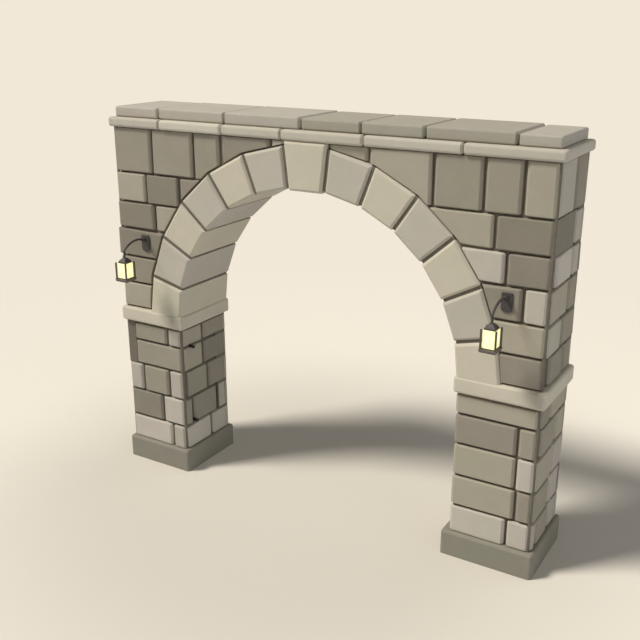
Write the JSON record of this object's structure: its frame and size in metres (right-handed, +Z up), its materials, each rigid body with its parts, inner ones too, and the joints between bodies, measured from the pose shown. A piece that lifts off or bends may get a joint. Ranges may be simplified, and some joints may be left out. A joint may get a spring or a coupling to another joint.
{
  "type": "stone gateway arch",
  "caption": "Free-standing stone gateway: two piers carry a round arch of wedge stones with a keystone, under a cornice and coping, with a bracket lantern on each side.",
  "frame": {"origin": "on the ground, at the middle of the box that the whole arch fills", "axes": "+Z up, +X along the wall to the right seen from the front, +Y from the front to the back; the lanterns are on the front, towards -Y"},
  "size_m": [5.528, 1.42, 4.594],
  "materials": {
    "wall_stone": "rough dressed, weathered",
    "ring_stone": "smooth dressed, weathered",
    "plinth_stone": "rough dressed, darkened by damp",
    "coping_stone": "smooth dressed, weathered",
    "mortar": "recessed lime mortar, dark",
    "iron": "blackened wrought iron",
    "lantern_glass": "frosted, lit from inside"
  },
  "bodies": {
    "root": {"left_plinth": "plinth_stone", "left_pier": "wall_stone", "left_impost": "ring_stone", "left_spandrel": "wall_stone", "right_plinth": "plinth_stone", "right_pier": "wall_stone", "right_impost": "ring_stone", "right_spandrel": "wall_stone", "left_springer": "ring_stone", "left_voussoir_1": "ring_stone", "left_voussoir_2": "ring_stone", "left_voussoir_3": "ring_stone", "left_voussoir_4": "ring_stone", "left_voussoir_5": "ring_stone", "keystone": "ring_stone", "right_voussoir_5": "ring_stone", "right_voussoir_4": "ring_stone", "right_voussoir_3": "ring_stone", "right_voussoir_2": "ring_stone", "right_voussoir_1": "ring_stone", "right_springer": "ring_stone", "ring_mortar": "mortar", "cornice_stone_1": "coping_stone", "cornice_stone_2": "coping_stone", "cornice_stone_3": "coping_stone", "cornice_stone_4": "coping_stone", "cornice_stone_5": "coping_stone", "cornice_stone_6": "coping_stone", "coping_slab_1": "coping_stone", "coping_slab_2": "coping_stone", "coping_slab_3": "coping_stone", "coping_slab_4": "coping_stone", "coping_slab_5": "coping_stone", "coping_slab_6": "coping_stone", "coping_slab_7": "coping_stone", "left_lantern_bracket": "iron", "left_lantern_cap": "iron", "left_lantern_glass": "lantern_glass", "left_lantern_cage": "iron", "left_pegs": "iron", "right_lantern_bracket": "iron", "right_lantern_cap": "iron", "right_lantern_glass": "lantern_glass", "right_lantern_cage": "iron", "right_pegs": "iron"}
  },
  "joints": []
}
